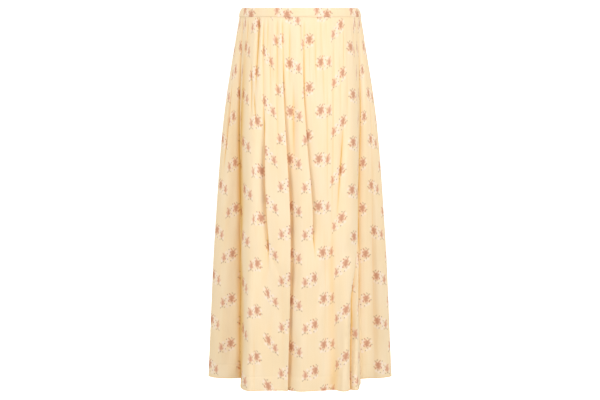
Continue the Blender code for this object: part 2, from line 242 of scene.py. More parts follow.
CREAM = (0.905, 0.730, 0.500, 1)
CREAM_DEEP = (0.898, 0.704, 0.446, 1)
CREAM_PATCH = (0.030, 0.11)  # the width and height of a patch of deeper cream
CREAM_EDGES = (0.30, 0.70)
CREAM_SHARE = 0.8
PAINTED_FOLD_SHADE = (1.0, 0.72, 0.26, 1)  # painted shade: tints the depths of the folds darker and warmer
PAINTED_DEEP_SHADE = (0.70, 0.69, 0.69, 1)  # painted shade, darker still along the deepest lines
PAINTED_LIGHT_TINT = (1.05, 1.11, 1.16, 1)  # painted light: the tint where the painted shade is below 0, paler
SLUB = (0.0014, 0.060)  # a slub's width and length
SLUB_TINT = (0.985, 0.955, 0.905, 1)
SLUB_EDGES = (0.30, 0.75)
SLUB_SHARE = 0.5
SLUB_RISE, WEAVE_RISE = 0.85, 0.15  # their shares of the cloth's fine relief
WEAVE = 0.00035  # the size of one crossing of the weave
RELIEF = {"Strength": 0.35, "Distance": 0.0003}
ROUGH, ROUGH_SPREAD = 0.81, 0.10
SHEEN = {
    "Specular IOR Level": 0.08,
    "Sheen Weight": 0.04,
    "Sheen Tint": (0.95, 0.78, 0.52, 1),
    "Sheen Roughness": 0.5,
}
ROSE = (0.680, 0.355, 0.225, 1)
ROSE_DEEP = (0.560, 0.260, 0.155, 1)
ROSE_PALE = (0.800, 0.510, 0.365, 1)
BLOSSOM = (0.925, 0.760, 0.620, 1)
SPECK = (0.600, 0.430, 0.290, 1)
LEAF = (0.650, 0.475, 0.310, 1)
THREAD = (0.840, 0.640, 0.400, 1)
THREAD_FIBRES = 9000
THREAD_ROUGH = 0.7
STAGE_WHITE = (0.93, 0.93, 0.93, 1)
STAGE_ROUGH = 0.95
STAGE_GLOW = 0.75

# A sprig in metres, from its middle: a place, half sizes, a turn in degrees and a paint
Blot = namedtuple("Blot", "x y wide tall turn paint")
SPRIG = (
    Blot(-0.0144, -0.0056, 0.0026, 0.0023, 0, "blossom"),
    Blot(-0.0086, -0.0076, 0.0028, 0.0022, 20, "blossom"),
    Blot(-0.0022, 0.0086, 0.0026, 0.0025, 0, "blossom"),
    Blot(-0.0014, 0.0012, 0.0032, 0.0036, 0, "blossom"),
    Blot(0.0016, -0.0054, 0.0030, 0.0032, 0, "blossom"),
    Blot(-0.0010, -0.0104, 0.0026, 0.0022, 0, "blossom"),
    Blot(0.0046, 0.0056, 0.0022, 0.0026, 0, "blossom"),
    Blot(0.0128, -0.0090, 0.0020, 0.0020, 0, "blossom"),
    Blot(-0.0178, 0.0078, 0.0018, 0.0022, 0, "blossom"),
    Blot(-0.0158, 0.0000, 0.0012, 0.0024, 32, "rose"),
    Blot(-0.0040, -0.0004, 0.0012, 0.0024, -34, "rose"),
    Blot(-0.0060, 0.0122, 0.0010, 0.0020, -30, "rose"),
    Blot(0.0086, -0.0030, 0.0034, 0.0062, 4, "pale"),
    Blot(0.0084, -0.0034, 0.0019, 0.0048, 4, "rose"),
    Blot(0.0106, 0.0034, 0.0009, 0.0024, -24, "rose"),
    Blot(0.0124, -0.0044, 0.0010, 0.0024, -40, "pale"),
    Blot(0.0050, -0.0052, 0.0009, 0.0020, 36, "rose"),
    Blot(0.0090, -0.0104, 0.0015, 0.0015, 10, "speck"),
    Blot(-0.0066, -0.0086, 0.0012, 0.0012, 0, "speck"),
    Blot(-0.0012, 0.0112, 0.0012, 0.0012, 0, "speck"),
    Blot(0.0004, -0.0058, 0.0011, 0.0011, 0, "speck"),
    Blot(0.0018, 0.0038, 0.0010, 0.0010, 0, "speck"),
    Blot(-0.0188, 0.0020, 0.0010, 0.0010, 0, "speck"),
    Blot(0.0048, -0.0116, 0.0010, 0.0012, 0, "speck"),
    Blot(-0.0150, 0.0116, 0.0011, 0.0026, 60, "leaf"),
    Blot(-0.0110, 0.0142, 0.0010, 0.0022, -40, "leaf"),
    Blot(-0.0110, -0.0040, 0.0012, 0.0022, 8, "leaf"),
    Blot(0.0128, -0.0128, 0.0010, 0.0020, 50, "leaf"),
    Blot(0.0044, 0.0006, 0.0009, 0.0018, 10, "leaf"),
)
PAINTS = (("blossom", BLOSSOM), ("leaf", LEAF), ("pale", ROSE_PALE), ("rose", ROSE), ("speck", SPECK))
SPRIG_SCALE = 1.2
EDGE_SOFTNESS = 0.50
FRAYS, FRAY = 420, 0.0018  # how fine the frayed edges of the print are, and how deep
SHOWS_THROUGH = 0.35  # how strongly the print shows on the cloth's reverse

# The open rose in a sprig. Edges are in radii of the rose, from none to full
ROSE_MIDDLE = (-0.0096, 0.0046)
ROSE_SIZE = (0.0058, 0.0070)
ROSE_TURN = 12
PETALS, PETAL_DEPTH = 7, 0.16
LOBES, LOBE_DEPTH = 3, 0.10
ROSE_EDGE, ROSE_COVER = (1.22, 0.80), 0.93
SWIRL, SWIRL_COVER = 8.5, 0.5
HEART_EDGE, HEART_COVER = (0.45, 0.10), 0.6
RIM_EDGE, RIM_COVER = (0.55, 1.0), 0.8


class Wire:
    """A socket in a material. Arithmetic on it adds Math nodes."""

    def __init__(self, graph, socket):
        self.graph = graph
        self.socket = socket

    def math(self, operation, *others):
        inputs = dict(enumerate([self, *others]))
        return self.graph.add("ShaderNodeMath", {"operation": operation}, inputs)

    def __add__(self, other):
        return self.math("ADD", other)

    def __sub__(self, other):
        return self.math("SUBTRACT", other)

    def __rsub__(self, other):
        return self.graph.add("ShaderNodeMath", {"operation": "SUBTRACT"}, {0: other, 1: self})

    def __mul__(self, other):
        return self.math("MULTIPLY", other)

    def __truediv__(self, other):
        return self.math("DIVIDE", other)

    def __rtruediv__(self, other):
        return self.graph.add("ShaderNodeMath", {"operation": "DIVIDE"}, {0: other, 1: self})

    __radd__ = __add__
    __rmul__ = __mul__


class Graph:
    """One material's nodes."""

    MIX_FIRST, MIX_SECOND, MIX_RESULT = 6, 7, 2  # the Mix node's sockets for colours

    def __init__(self, name):
        self.material = bpy.data.materials.new(name)
        self.material.use_nodes = True
        self.nodes = self.material.node_tree.nodes
        self.shader = self.nodes["Principled BSDF"]

    def add(self, kind, settings=None, inputs=None, output=0):
        """A node of any kind. Its settings are set first, then the values or links of its sockets."""
        node = self.nodes.new(kind)
        for name, value in (settings or {}).items():
            setattr(node, name, value)
        for name, value in (inputs or {}).items():
            self.put(node.inputs[name], value)
        return Wire(self, node.outputs[output])

    def put(self, socket, value):
        if isinstance(value, Wire):
            self.material.node_tree.links.new(value.socket, socket)
        else:
            socket.default_value = value

    def mix(self, share, first, second, blend="MIX"):
        """A colour between two, at this share of the second."""
        settings = {"data_type": "RGBA", "blend_type": blend}
        inputs = {"Factor": share, self.MIX_FIRST: first, self.MIX_SECOND: second}
        return self.add("ShaderNodeMix", settings, inputs, self.MIX_RESULT)

    def tinted(self, share, colour, tint):
        """The colour multiplied by a tint, at this share."""
        return self.mix(share, colour, tint, "MULTIPLY")

    def soft_step(self, value, low, high):
        return self.add(
            "ShaderNodeMapRange",
            {"interpolation_type": "SMOOTHSTEP"},
            {"Value": value, "From Min": low, "From Max": high, "To Min": 0.0, "To Max": 1.0},
        )

    def noise(self, vector, scale, detail, output=0):
        inputs = {"Vector": vector, "Scale": scale, "Detail": detail}
        return self.add("ShaderNodeTexNoise", {}, inputs, output)

    def vectors(self, operation, inputs):
        return self.add("ShaderNodeVectorMath", {"operation": operation}, inputs)

    def surface(self, values):
        """Puts values or links on the shader's sockets."""
        for name, value in values.items():
            self.put(self.shader.inputs[name], value)

    def stretched(self, vector, wide, tall):
        """The vector counted in cells of this width and height."""
        return self.add("ShaderNodeMapping", {}, {"Vector": vector, "Scale": (1 / wide, 1 / tall, 1)})

    def parts(self, vector):
        first = self.add("ShaderNodeSeparateXYZ", {}, {"Vector": vector})
        return [Wire(self, socket) for socket in first.socket.node.outputs]

    def joined(self, x, y):
        return self.add("ShaderNodeCombineXYZ", {}, {"X": x, "Y": y})

    def attribute(self, name):
        return self.add("ShaderNodeAttribute", {"attribute_name": name}, {}, "Fac")

    def ellipse(self, place, x, y, wide, tall, turn):
        """The place counted in an ellipse's radii, and how far it lies from the middle."""
        inputs = {
            "Vector": place,
            "Location": (x, y, 0),
            "Rotation": (0, 0, radians(turn)),
            "Scale": (wide, tall, 1),
        }
        settled = self.add("ShaderNodeMapping", {"vector_type": "TEXTURE"}, inputs)
        away = self.add("ShaderNodeVectorMath", {"operation": "LENGTH"}, {0: settled}, "Value")
        return settled, away

    def blot(self, place, shape):
        """1 inside a blot and 0 outside, with a soft edge."""
        _, away = self.ellipse(place, shape.x, shape.y, shape.wide, shape.tall, shape.turn)
        return self.soft_step(away, 1 + EDGE_SOFTNESS, 1 - EDGE_SOFTNESS)


def sprig_place(graph, cloth):
    """The place within one sprig's cell, from the place on the flat cloth."""
    across, up, _ = graph.parts(cloth)
    rows = (up - PRINT_START[1]) / (REPEAT_DOWN / 2) + 0.5
    row = rows.math("FLOOR")
    leaning = row.math("FLOORED_MODULO", 2)
    columns = (across - PRINT_START[0] - leaning * SECOND_ROW) / REPEAT_ACROSS + 0.5
    x = (columns.math("FRACT") - 0.5) * REPEAT_ACROSS
    y = (rows - row - 0.5) * (REPEAT_DOWN / 2)
    return graph.joined(x * (1 - 2 * leaning) / SPRIG_SCALE, y / SPRIG_SCALE)


def sprig_colour(graph, place, ground):
    """The printed sprig over the ground colour."""
    frayed = graph.vectors("SCALE", {0: graph.noise(place, FRAYS, 1, 1), 3: FRAY})
    shifted = graph.vectors("SUBTRACT", {0: frayed, 1: (FRAY / 2, FRAY / 2, FRAY / 2)})
    place = graph.vectors("ADD", {0: place, 1: shifted})
    colour = ground
    for paint_name, tint in PAINTS:
        blots = [graph.blot(place, shape) for shape in SPRIG if shape.paint == paint_name]
        mask = blots[0]
        for blot in blots[1:]:
            mask = mask.math("MAXIMUM", blot)
        colour = graph.mix(mask, colour, tint)
    return rose_colour(graph, place, colour)


def rose_colour(graph, place, ground):
    """The open rose, with a wavy rim of petals and darker lines between them."""
    settled, away = graph.ellipse(place, *ROSE_MIDDLE, *ROSE_SIZE, ROSE_TURN)
    x, y, _ = graph.parts(settled)
    angle = y.math("ARCTAN2", x)
    lobes = (angle * LOBES + 1.0).math("SINE") * LOBE_DEPTH
    rim = (angle * PETALS).math("SINE") * PETAL_DEPTH + lobes + 1.0
    inside = graph.soft_step(away / rim, *ROSE_EDGE)
    swirl = (away * SWIRL + angle * 2).math("SINE") * 0.5 + 0.5
    petals = graph.mix(swirl * SWIRL_COVER, ROSE, ROSE_DEEP)
    petals = graph.mix(graph.soft_step(x.math("ABSOLUTE"), *HEART_EDGE) * HEART_COVER, petals, ROSE_DEEP)
    petals = graph.mix(graph.soft_step(away / rim, *RIM_EDGE) * RIM_COVER, petals, ROSE_PALE)
    return graph.mix(inside * ROSE_COVER, ground, petals)


def cotton_look(graph, colour, cloth):
    """Puts a colour on woven cotton: fine upright slubs, the weave's grain and a soft sheen, with painted
    shade in its folds and painted light where the hollow attribute is below 0.
    """
    slubs = graph.noise(graph.stretched(cloth, *SLUB), 1.0, 3)
    weave = graph.noise(graph.stretched(cloth, WEAVE, WEAVE), 1.0, 1)
    slubbed = graph.tinted(graph.soft_step(slubs, *SLUB_EDGES) * SLUB_SHARE, colour, SLUB_TINT)
    # hollow: where painted shade lies in the folds and along the hem's edge; below 0 it is painted light
    hollow = graph.attribute("hollow")
    # painted light where the hollow attribute is below 0
    with_painted_light = graph.tinted(hollow * -1, slubbed, PAINTED_LIGHT_TINT)
    # painted shade in the folds, strongest along the deepest lines
    with_fold_shade = graph.tinted(hollow, with_painted_light, PAINTED_FOLD_SHADE)
    with_deep_shade = graph.tinted(hollow * hollow * hollow, with_fold_shade, PAINTED_DEEP_SHADE)
    height = slubs * SLUB_RISE + weave * WEAVE_RISE
    bump = graph.add("ShaderNodeBump", {}, {"Height": height, **RELIEF})
    roughness = weave * ROUGH_SPREAD + ROUGH
    graph.surface({"Base Color": with_deep_shade, "Roughness": roughness, "Normal": bump, **SHEEN})


def printed_cotton(name):
    graph = Graph(name)
    cloth = graph.add("ShaderNodeUVMap", {"uv_map": "cloth"})
    tone = graph.noise(graph.stretched(cloth, *CREAM_PATCH), 1.0, 2)
    ground = graph.mix(graph.soft_step(tone, *CREAM_EDGES) * CREAM_SHARE, CREAM, CREAM_DEEP)
    printed = sprig_colour(graph, sprig_place(graph, cloth), ground)
    faded = graph.mix(graph.attribute("reverse") * (1 - SHOWS_THROUGH), printed, ground)
    cotton_look(graph, faded, cloth)
    return graph.material


def sewing_thread(name):
    graph = Graph(name)
    place = graph.add("ShaderNodeTexCoord", {}, {}, "Object")
    fibres = graph.noise(place, THREAD_FIBRES, 1)
    graph.surface({"Base Color": graph.mix(fibres, THREAD, CREAM), "Roughness": THREAD_ROUGH})
    return graph.material


def studio_white(name):
    graph = Graph(name)
    graph.surface({
        "Base Color": STAGE_WHITE,
        "Roughness": STAGE_ROUGH,
        "Specular IOR Level": 0.0,
        "Emission Color": (1, 1, 1, 1),
        "Emission Strength": STAGE_GLOW,
    })
    return graph.material


# The skirt's form


def on_waist(turn, share=1.0, out=0.0):
    """A point on the waist's ellipse, turn degrees from the front towards +X, and out metres off it."""
    angle = radians(turn)
    deep = WAIST_FRONT if abs(turn) <= 90 else WAIST_BACK
    return (share * WAIST_WIDTH / 2 + out) * sin(angle), -(share * deep + out) * cos(angle)


def rib_line(rib, side):
    """A rib's points at the four drops, mirrored to the left where side is -1."""
    points = [on_waist(rib.turn), (rib.hip_x, rib.hip_y), (rib.knee_x, rib.knee_y), (rib.hem_x, rib.hem_y)]
    return [(side * x, y) for x, y in points]


def rib_table():
    """Every rib round the skirt, from the left side seam through the front: (drop, rib, x and y)."""
    around = [rib_line(rib, 1) for rib in FRONT_RIBS + BACK_RIBS]
    around += [rib_line(rib, -1) for rib in BACK_RIBS[-2::-1]]
    return np.array(around).transpose(1, 0, 2)


def eased(share):
    """0 at 0 and 1 at 1, level at both."""
    return share * share * (3 - 2 * share)


def hermite(start, end, start_slope, end_slope, share):
    """A smooth curve from start to end that leaves and arrives along the two slopes."""
    return (
        start + (end - start) * eased(share)
        + start_slope * share * (1 - share) ** 2
        - end_slope * share * share * (1 - share)
    )


def through(values, drop):
    """The smooth curve through values, which are given at DROPS, read at this drop."""
    slopes = np.gradient(values, DROPS, axis=0)
    low = int(np.clip(np.searchsorted(DROPS, drop) - 1, 0, len(DROPS) - 2))
    span = DROPS[low + 1] - DROPS[low]
    return hermite(
        values[low], values[low + 1], slopes[low] * span, slopes[low + 1] * span, (drop - DROPS[low]) / span
    )


def section(ribs, place):
    """Points on the smooth closed curve through the ribs of one height, at rib numbers with fractions."""
    ahead = np.roll(ribs, -1, axis=0) - ribs
    knot = np.linalg.norm(ahead, axis=1, keepdims=True) ** 0.5
    rise = ahead / knot
    knot_before = np.roll(knot, 1, axis=0)
    slope = (rise * knot_before + np.roll(rise, 1, axis=0) * knot) / (knot + knot_before)
    whole = np.floor(place)
    low = whole.astype(int) % len(ribs)
    high = (low + 1) % len(ribs)
    return hermite(
        ribs[low], ribs[high], slope[low] * knot[low], slope[high] * knot[low], (place - whole)[:, None]
    )


def swell(drop, starts, deepest, ends):
    """0 at starts and ends, 1 at deepest, smooth between."""
    near = starts if drop < deepest else ends
    return eased(np.clip((drop - near) / (deepest - near), 0, 1))


def valley(away, before, after, crisp):
    """A fold's depth, 1 at its bottom and 0 at its two edges, for distances from its bottom."""
    reach = np.clip(np.abs(away) / np.where(away < 0, before, after), 0, 1)
    rounded = (1 - reach) ** 2 * (1 + 2 * reach)
    creased = (1 - reach) ** 2
    return rounded + (creased - rounded) * crisp


def lapped(away, fold):
    """How far along the cloth a fold's lip is pushed over its bottom, and what cloth that lays bare."""
    steep = fold.before if fold.lap > 0 else fold.after
    middle = -np.sign(fold.lap) * steep / 2
    share = np.clip((away - middle) / (LAP_REACH * steep), -1, 1)
    pushed = -np.sin(pi * share) * (1 - share * share)
    bared = np.where(np.abs(share) < LAP_TURNS, 0, pushed + LAP_MOST * np.sign(share))
    return abs(fold.lap) * pushed, abs(fold.lap) * bared


def gathers(across, drop):
    """Small upright waves below the waistband, uneven in height and spacing."""
    height = GATHER_HEIGHT * swell(drop, -GATHER_FULL, GATHER_FULL, GATHER_END)
    phase = 2 * pi * across / GATHER_SPACING
    unevenness = 1 - GATHER_VARIES + GATHER_VARIES * np.sin(SLOWER_WAVE * phase + GATHER_START)
    strayed = phase + GATHER_WANDERS * np.sin(SLOW_WAVE * phase)
    return height * unevenness * (0.5 + 0.5 * np.sin(strayed))


def rumples(across, drop):
    """Soft uneven dents that lean across the lower cloth."""
    height = RUMPLE_HEIGHT * swell(drop, RUMPLES_FROM, RUMPLES_FULL, RUMPLES_END)
    wide, tall = RUMPLE_SIZE
    places = [Vector((x / wide, (drop + RUMPLE_LEAN * x) / tall, 0)) for x in across]
    return height * np.array([noise.noise(place) for place in places])


def freed(drop):
    """How free the cloth is of the waistband it is sewn to."""
    return SEWN_SHARE + (1 - SEWN_SHARE) * swell(min(drop, FREE_BELOW), PANEL_TOP, FREE_BELOW, HEM)


class Cloth:
    """The skirt's surface, and the flat cloth that it was made from."""

    SAMPLES = 1600
    NUDGE = 0.02  # in ribs, for the direction along the section

    def __init__(self):
        self.ribs = rib_table()
        self.places = np.linspace(0, self.ribs.shape[1], self.SAMPLES + 1)
        hem = section(self.ribs[-1], self.places)
        steps = np.linalg.norm(np.diff(hem, axis=0), axis=1)
        lengths = np.concatenate([[0], np.cumsum(steps)])
        self.front_half = np.interp(len(FRONT_RIBS) - 1, self.places, lengths) / 2
        self.round = lengths[-1]
        self.lengths = lengths - self.front_half
        self.in_front = self.lengths <= self.front_half

    def lines_at(self, drop, front_xs, back_xs):
        """The cloth coordinates of these x places on the front and on the back, at this drop."""
        line = section(through(self.ribs, drop), self.places)
        front, back = self.in_front, ~self.in_front
        on_front = np.interp(front_xs, np.maximum.accumulate(line[front, 0]), self.lengths[front])
        on_back = np.interp(-np.array(back_xs), np.maximum.accumulate(-line[back, 0]), self.lengths[back])
        return on_front, on_back

    def fold_lines(self, drop):
        return self.lines_at(drop, xs_of(FRONT_FOLDS, drop), xs_of(BACK_FOLDS, drop))

    def crease_lines(self, drop):
        return self.lines_at(drop, crease_xs(FRONT_CREASES, drop), crease_xs(BACK_CREASES, drop))

    def row(self, across, drop):
        """Points along one height. Folds grow shallower where the cloth is drawn in towards the waist."""
        ribs = through(self.ribs, drop)
        wrapped = (across - self.lengths[0]) % self.round + self.lengths[0]
        place = np.interp(wrapped, self.lengths, self.places)
        tangent = section(ribs, place + self.NUDGE) - section(ribs, place - self.NUDGE)
        at_hem = section(self.ribs[-1], place + self.NUDGE) - section(self.ribs[-1], place - self.NUDGE)
        length = np.linalg.norm(tangent, axis=1)
        drawn_in = np.minimum(length / np.linalg.norm(at_hem, axis=1), 1)
        tangent /= length[:, None]
        outward = np.stack([tangent[:, 1], -tangent[:, 0]], axis=1)
        raised = self.beside_seams(across) * (gathers(across, drop) + rumples(across, drop))
        raised = raised - HEM_PINCH * exp(-(((drop - HEM + HEM_DEPTH) / HEM_PINCH_REACH) ** 2))
        pushed = np.zeros_like(across)
        for fold, bottom in zip(FRONT_FOLDS + BACK_FOLDS, np.concatenate(self.fold_lines(drop))):
            away = self.away(across, bottom)
            full = swell(drop, fold.starts, fold.deepest, fold.ends)
            raised = raised - fold.depth * full * valley(away, fold.before, fold.after, fold.crisp)
            if fold.lap:
                pushed = pushed + full * lapped(away, fold)[0]
        for crease, bottom in zip(FRONT_CREASES + BACK_CREASES, np.concatenate(self.crease_lines(drop))):
            away = self.away(across, bottom)
            full = swell(drop, crease.starts, crease.deepest, crease.ends)
            raised = raised - crease.depth * full * valley(away, crease.reach, crease.reach, CREASE_CRISP)
        free = freed(drop)
        shift = outward * (free * drawn_in * raised)[:, None] + tangent * (free * pushed)[:, None]
        return np.column_stack([section(ribs, place) + shift, np.full(len(across), -drop)])

    def shade(self, across, drop):
        """How strongly each place lies in a fold's shade, or below 0 in light."""
        names = [rib.name for rib in FRONT_RIBS]
        total = np.zeros_like(across)
        for shade in SHADES:
            line = np.interp(names.index(shade.rib), self.places, self.lengths) + shade.aside
            full = shade.strength * swell(drop, shade.starts, shade.full, shade.ends)
            total = total + full * valley(across - line, shade.before, shade.after, SHADE_CRISP)
        return total

    def beside_seams(self, across):
        """0 on the side seams, where front and back are joined, and 1 a little way from them."""
        return eased(np.clip(np.abs(np.abs(self.away(across, 0)) - self.front_half) / SEAM_PLAIN, 0, 1))

    def away(self, across, line):
        """How far each place lies from a line, the shorter way round the skirt."""
        return (across - line + self.round / 2) % self.round - self.round / 2

    def flat(self, across, drop):
        """Places on the flat cloth: across, with what the folds take up, and up."""
        taken = across.copy()
        for fold, bottom in zip(FRONT_FOLDS + BACK_FOLDS, np.concatenate(self.fold_lines(drop))):
            away = across - bottom
            share = np.clip(away / TAKEN_WITHIN, -1, 1)
            taken = taken + fold.takes / 2 * (1.5 * share - 0.5 * share**3)
            if fold.lap:
                full = swell(drop, fold.starts, fold.deepest, fold.ends)
                taken = taken + freed(drop) * full * lapped(away, fold)[1]
        aside = np.minimum(np.abs(across), np.abs(self.round / 2 - np.abs(across)))
        lift = GRAIN_LIFT * eased(np.clip((aside - GRAIN_LEVEL) / (GRAIN_LIFTED - GRAIN_LEVEL), 0, 1))
        return np.column_stack([taken, -drop - lift])


def xs_of(folds, drop):
    """Where the folds lie at this drop."""
    given = np.array([(fold.waist, fold.hip, fold.knee, fold.hem) for fold in folds])
    return through(given.T, drop)


def crease_xs(creases, drop):
    """Where the creases lie at this drop."""
    share = (drop - PANEL_TOP) / (HEM - PANEL_TOP)
    return [crease.waist + (crease.hem - crease.waist) * share for crease in creases]


# Stitches


Seam = namedtuple("Seam", "spacing length width")
HEM_SEAM = Seam(0.0062, 0.0016, 0.0003)
BAND_SEAM = Seam(0.0025, 0.0019, 0.00032)
BAND_SEAM_UP = -0.80  # in the band's half heights
STITCH_SIDES, STITCH_RINGS = 6, 4
STITCH_LIFT = 0.25  # how far a stitch's middle stands out of the cloth, in stitch widths


def stitch_tree():
    """Geometry Nodes that lay stitches along a path, each one lying on the cloth."""
    tree = bpy.data.node_groups.new("stitches along a path", "GeometryNodeTree")
    face = tree.interface
    face.new_socket(name="Path", in_out="INPUT", socket_type="NodeSocketGeometry")
    for title in ("Spacing", "Stitch Length", "Stitch Width"):
        face.new_socket(name=title, in_out="INPUT", socket_type="NodeSocketFloat")
    face.new_socket(name="Thread", in_out="INPUT", socket_type="NodeSocketMaterial")
    face.new_socket(name="Stitches", in_out="OUTPUT", socket_type="NodeSocketGeometry")

    def add(kind, settings=None, inputs=None):
        node = tree.nodes.new(kind)
        for name, value in (settings or {}).items():
            setattr(node, name, value)
        for name, value in (inputs or {}).items():
            if isinstance(value, bpy.types.NodeSocket):
                tree.links.new(value, node.inputs[name])
            else:
                node.inputs[name].default_value = value
        return node

    given = add("NodeGroupInput").outputs
    curve = add("GeometryNodeMeshToCurve", {}, {"Mesh": given["Path"]})
    even = add(
        "GeometryNodeResampleCurve",
        {"mode": "LENGTH"},
        {"Curve": curve.outputs["Curve"], "Length": given["Spacing"]},
    )
    outward = add("GeometryNodeInputNamedAttribute", {"data_type": "FLOAT_VECTOR"}, {"Name": "outward"})
    tangent = add("GeometryNodeInputTangent")
    along = add("FunctionNodeAlignRotationToVector", {"axis": "X"}, {"Vector": tangent.outputs["Tangent"]})
    flat = add(
        "FunctionNodeAlignRotationToVector",
        {"axis": "Z", "pivot_axis": "X"},
        {"Rotation": along.outputs["Rotation"], "Vector": outward.outputs["Attribute"]},
    )
    size = add(
        "ShaderNodeCombineXYZ",
        {},
        {"X": given["Stitch Length"], "Y": given["Stitch Width"], "Z": given["Stitch Width"]},
    )
    shape = {"Segments": STITCH_SIDES, "Rings": STITCH_RINGS, "Radius": 0.5}
    bead = add("GeometryNodeMeshUVSphere", {}, shape)
    placed = add(
        "GeometryNodeInstanceOnPoints",
        {},
        {
            "Points": even.outputs["Curve"],
            "Instance": bead.outputs["Mesh"],
            "Rotation": flat.outputs["Rotation"],
            "Scale": size.outputs[0],
        },
    )
    real = add("GeometryNodeRealizeInstances", {}, {"Geometry": placed.outputs["Instances"]})
    threaded = add(
        "GeometryNodeSetMaterial", {}, {"Geometry": real.outputs["Geometry"], "Material": given["Thread"]}
    )
    add("NodeGroupOutput", {}, {"Stitches": threaded.outputs["Geometry"]})
    return tree


def stitches(name, tree, seam, path, outward, thread):
    """A row of stitches along a path of points, as one plain mesh."""
    mesh = bpy.data.meshes.new(name + " path")
    count = len(path)
    mesh.from_pydata(np.asarray(path).tolist(), [(i, i + 1) for i in range(count - 1)], [])
    layer = mesh.attributes.new("outward", "FLOAT_VECTOR", "POINT")
    layer.data.foreach_set("vector", np.asarray(outward, np.float32).ravel())
    guide = bpy.data.objects.new(name + " path", mesh)
    bpy.context.scene.collection.objects.link(guide)
    modifier = guide.modifiers.new("stitches", "NODES")
    modifier.node_group = tree
    values = {
        "Spacing": seam.spacing,
        "Stitch Length": seam.length,
        "Stitch Width": seam.width,
        "Thread": thread,
    }
    for item in tree.interface.items_tree:
        if item.in_out == "INPUT" and item.name in values:
            modifier[item.identifier] = values[item.name]
    laid = guide.evaluated_get(bpy.context.evaluated_depsgraph_get())
    sewn = bpy.data.meshes.new_from_object(laid)
    guide.modifiers.remove(modifier)
    bpy.data.objects.remove(guide)
    sewn.name = name
    sewn.shade_smooth()
    piece = bpy.data.objects.new(name, sewn)
    bpy.context.scene.collection.objects.link(piece)
    return piece


# Meshes


# The reaches within which a hollow is looked for, for the painted shade, each with the depth that counts as
# full
HOLLOW_SCALES = ((0.018, 0.0085), (0.010, 0.0040), (0.0045, 0.0011))
HOLLOW_SLACK = 0.07  # the share of full that doesn't count yet


def grid_normals(grid):
    along = np.gradient(grid, axis=1)
    down = np.gradient(grid, axis=0)
    normals = np.cross(down, along)
    return normals / np.linalg.norm(normals, axis=2, keepdims=True)


def quads(number):
    """The faces of a grid of point numbers whose rows run down and whose columns run to the right."""
    corners = [number[:-1, :-1], number[1:, :-1], number[1:, 1:], number[:-1, 1:]]
    return np.stack(corners, axis=2).reshape(-1, 4)


def hollows(grid, normals):
    """How deep each point lies below its neighbours in its row, 0 to 1."""
    deep = np.zeros(grid.shape[:2])
    for number, (row, out) in enumerate(zip(grid, normals)):
        along = np.concatenate([[0], np.cumsum(np.linalg.norm(np.diff(row, axis=0), axis=1))])
        weight = np.gradient(along)
        for reach, full in HOLLOW_SCALES:
            near = weight * np.exp(-(((along[:, None] - along) / reach) ** 2))
            around = near @ row / near.sum(axis=1, keepdims=True)
            below = ((around - row) * out).sum(axis=1) / full
            deep[number] = np.maximum(deep[number], np.clip(below - HOLLOW_SLACK, 0, 1))
    return deep


def shell(name, outer, inner, cloth, hollow, material):
    """A closed wall between two grids of points, with rims along its four edges."""
    rows, columns = outer.shape[:2]
    number = np.arange(rows * columns).reshape(rows, columns)
    behind = number + rows * columns
    edge = np.concatenate([number[0], number[1:, -1], number[-1, -2::-1], number[-2:0:-1, 0]])
    after = np.roll(edge, -1)
    rim = np.stack([edge, after, after + rows * columns, edge + rows * columns], axis=1)
    faces = np.concatenate([quads(number), quads(behind[:, ::-1]), rim])
    points = np.concatenate([outer.reshape(-1, 3), inner.reshape(-1, 3)])
    piece = mesh_piece(name, points, faces, np.concatenate([cloth.reshape(-1, 2)] * 2), material)
    reverse = np.repeat([0.0, 1.0], rows * columns)
    for title, values in (("hollow", np.concatenate([hollow.ravel()] * 2)), ("reverse", reverse)):
        layer = piece.data.attributes.new(title, "FLOAT", "POINT")
        layer.data.foreach_set("value", values.astype(np.float32))
    return piece


def mesh_piece(name, points, faces, cloth, material):
    """A smooth mesh whose UV map holds each point's place on the flat cloth, in metres."""
    mesh = bpy.data.meshes.new(name)
    mesh.from_pydata(points.tolist(), [], faces.tolist())
    layer = mesh.uv_layers.new(name="cloth")
    corners = np.empty(len(mesh.loops), np.int32)
    mesh.loops.foreach_get("vertex_index", corners)
    layer.uv.foreach_set("vector", cloth[corners].astype(np.float32).ravel())
    mesh.materials.append(material)
    mesh.shade_smooth()
    mesh.set_sharp_from_angle(angle=radians(SHARP_ANGLE))
    piece = bpy.data.objects.new(name, mesh)
    bpy.context.scene.collection.objects.link(piece)
    return piece


def spread(start, end, lines, count):
    """Cloth coordinates from start to end, closer together round the lines."""
    fine = np.linspace(start, end, CROWD_STEPS)
    density = np.ones_like(fine)
    for line in lines:
        density += CROWDING * np.exp(-(((fine - line) / CROWD_REACH) ** 2))
    total = np.concatenate([[0], np.cumsum((density[1:] + density[:-1]) / 2)])
    return np.interp(np.linspace(0, total[-1], count + 1), total, fine)


